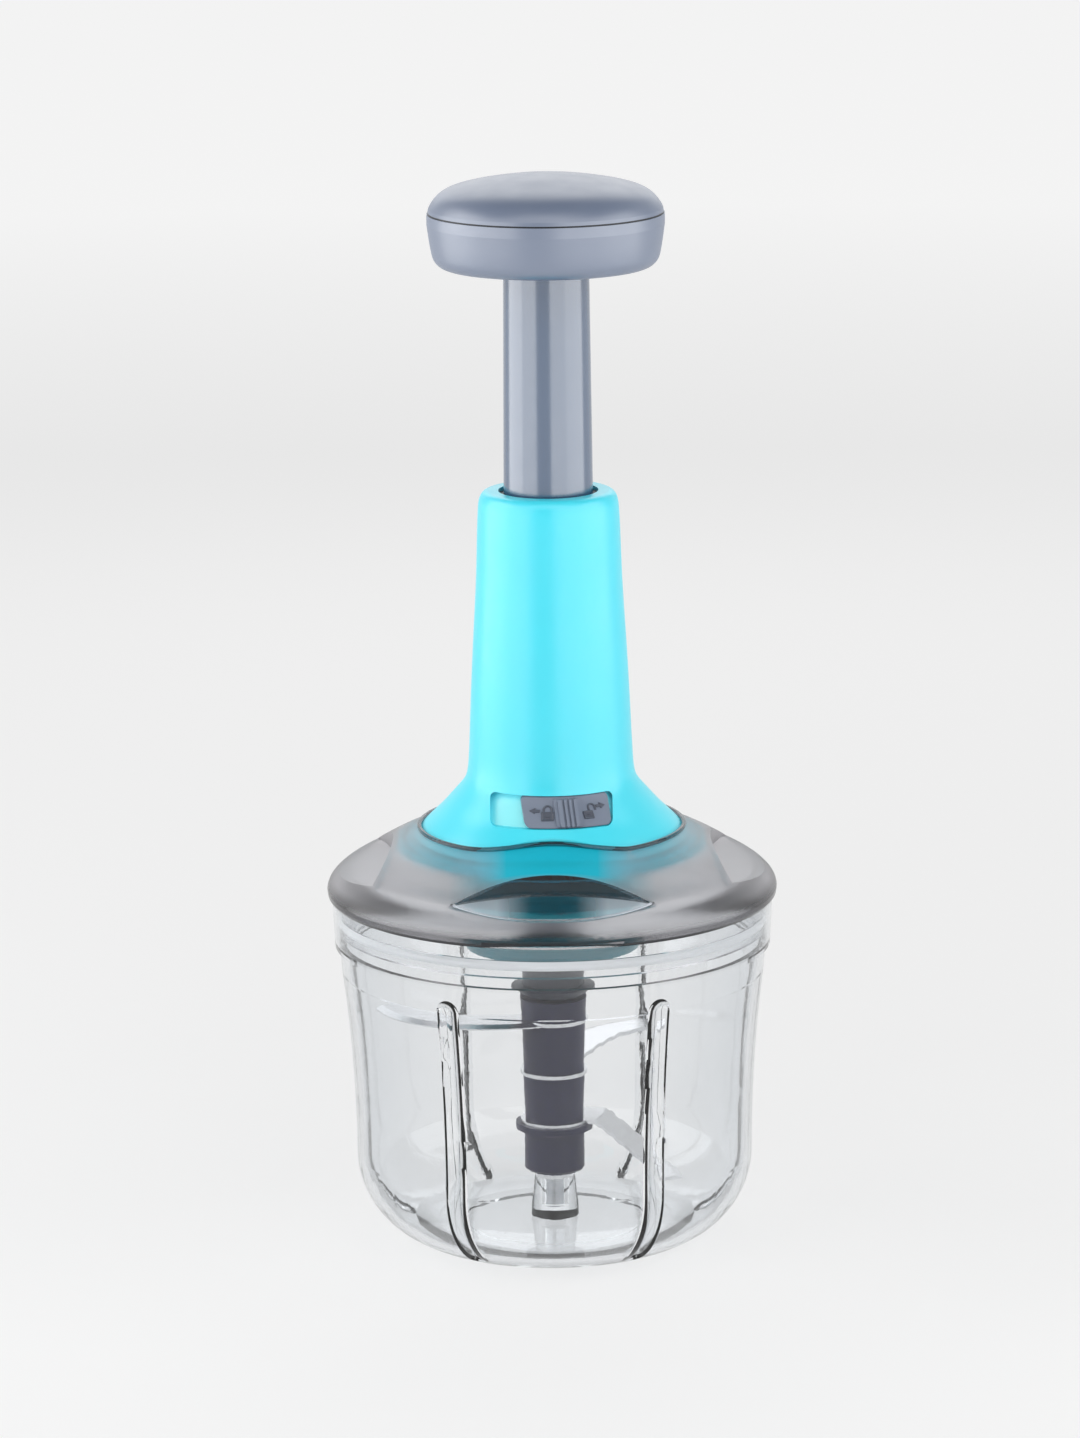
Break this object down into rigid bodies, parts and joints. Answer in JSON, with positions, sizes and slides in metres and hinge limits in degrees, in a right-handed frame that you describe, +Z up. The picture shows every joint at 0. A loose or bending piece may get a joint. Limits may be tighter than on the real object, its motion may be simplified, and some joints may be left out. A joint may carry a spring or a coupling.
{
  "type": "manual food chopper",
  "caption": "Push-down hand food chopper: pressing the round knob spins sickle blades in a clear round bowl under a smoked lid.",
  "frame": {"origin": "centre of the bowl's base, on the surface it stands on", "axes": "+Z up along the blades' turning axis, -Y towards the lock slider at the front, +X to the right as seen from the front"},
  "size_m": [0.142, 0.142, 0.3395],
  "materials": {
    "clear_plastic": "clear polished moulded plastic",
    "smoked_plastic": "smoked grey translucent moulded plastic, frosted on top, glossy at the rim",
    "cyan_plastic": "glossy moulded plastic, bright cyan",
    "tube_plastic": "glossy blue-grey plastic",
    "knob_plastic": "fine matte grey-blue plastic",
    "lock_plastic": "satin mid-grey plastic",
    "dark_plastic": "dark low-friction plastic",
    "hub_plastic": "satin dark purple-grey plastic",
    "coupler_plastic": "satin mid-grey plastic",
    "natural_plastic": "natural off-white engineering plastic",
    "blade_steel": "finely ground stainless sheet with a bright bevel",
    "bright_steel": "bright turned stainless steel",
    "spring_steel": "drawn spring wire",
    "nut_brass": "machined brass",
    "seal_rubber": "soft translucent grey silicone"
  },
  "bodies": {
    "bowl": {"bowl": "clear_plastic", "bowl_pin": "bright_steel"},
    "blades": {"hub_base": "hub_plastic", "blade_lower": "blade_steel", "hub_spacer_lower": "hub_plastic", "blade_middle": "blade_steel", "hub_spacer_upper": "hub_plastic", "blade_upper": "blade_steel", "hub_cap": "hub_plastic", "hub_screw": "bright_steel"},
    "head": {"lid": "smoked_plastic", "lid_seal": "seal_rubber", "body_shell": "cyan_plastic", "plunger_sleeve": "dark_plastic", "gear_housing": "cyan_plastic", "housing_screws": "bright_steel", "coupler_bush": "natural_plastic", "spring_tower": "natural_plastic", "tower_screws": "bright_steel", "return_spring": "spring_steel", "lock_spring": "spring_steel"},
    "spindle": {"twist_rod": "bright_steel", "carrier_pin": "bright_steel", "pawl_carrier": "natural_plastic", "pawls": "natural_plastic", "thrust_washer": "bright_steel"},
    "coupler": {"drive_coupler": "coupler_plastic", "ratchet_ring": "natural_plastic"},
    "plunger": {"plunger_tube": "tube_plastic", "plunger_foot": "dark_plastic", "drive_nut": "nut_brass", "tube_plug": "natural_plastic", "knob_base": "knob_plastic", "knob_cap": "knob_plastic", "knob_screw": "bright_steel"},
    "lock": {"lock_slider": "lock_plastic", "lock_ring": "lock_plastic"}
  },
  "joints": [
    {"name": "head_lift", "type": "slide", "parent": "bowl", "child": "head", "axis": [0, 0, 1], "range_m": [0, 0.12]},
    {"name": "plunger_press", "type": "slide", "parent": "head", "child": "plunger", "axis": [0, 0, -1], "range_m": [0, 0.065], "stiffness_N_per_m": 250, "springref_m": -0.02, "deforming": ["return_spring"]},
    {"name": "lock_turn", "type": "hinge", "parent": "head", "child": "lock", "pos_m": [0, 0, 0.144], "axis": [0, 0, -1], "range_deg": [0, 20]},
    {"name": "spindle_spin", "type": "hinge", "parent": "head", "child": "spindle", "pos_m": [0, 0, 0.108], "axis": [0, 0, 1], "range_deg": [0, 586]},
    {"name": "coupler_spin", "type": "hinge", "parent": "head", "child": "coupler", "pos_m": [0, 0, 0.0975], "axis": [0, 0, 1], "range_deg": [0, 586]},
    {"name": "blade_spin", "type": "hinge", "parent": "bowl", "child": "blades", "pos_m": [0, 0, 0.03], "axis": [0, 0, 1], "range_deg": [0, 586]}
  ],
  "couplings": [
    {"joint": "spindle_spin", "follows": "plunger_press", "rad_per_m": 157.08},
    {"joint": "coupler_spin", "follows": "plunger_press", "rad_per_m": 157.08},
    {"joint": "blade_spin", "follows": "plunger_press", "rad_per_m": 157.08}
  ]
}
